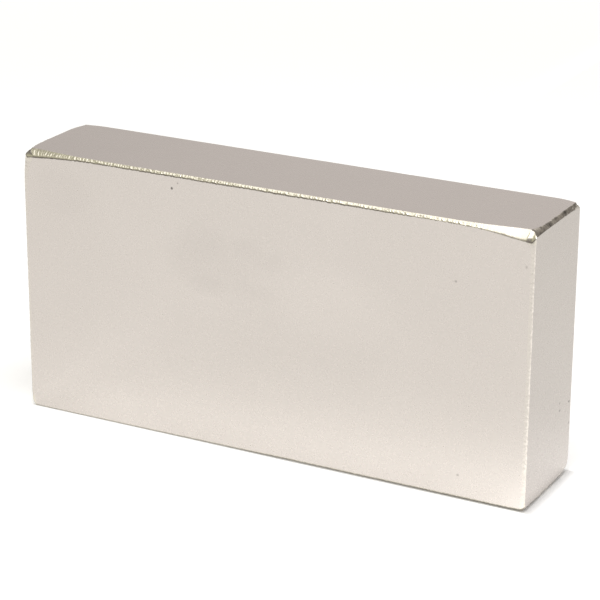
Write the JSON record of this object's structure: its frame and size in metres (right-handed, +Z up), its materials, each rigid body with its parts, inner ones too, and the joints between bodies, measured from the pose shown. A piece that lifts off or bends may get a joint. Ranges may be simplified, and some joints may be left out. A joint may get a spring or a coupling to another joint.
{
  "type": "block magnet",
  "caption": "Plain rectangular block magnet with flat ground faces, worn edges and satin nickel plating. It holds or lifts ferrous parts by its broad faces.",
  "frame": {"origin": "middle of the underside, the long narrow face that the block stands on", "axes": "+X along the length, +Y through the thickness from the front pole face to the back one, +Z up the height"},
  "size_m": [0.1, 0.02, 0.05],
  "materials": {
    "nickel_plating": "satin nickel plating over a ground and tumbled sintered block, brighter where its edges are worn"
  },
  "bodies": {
    "root": {"magnet_block": "nickel_plating"}
  },
  "joints": []
}
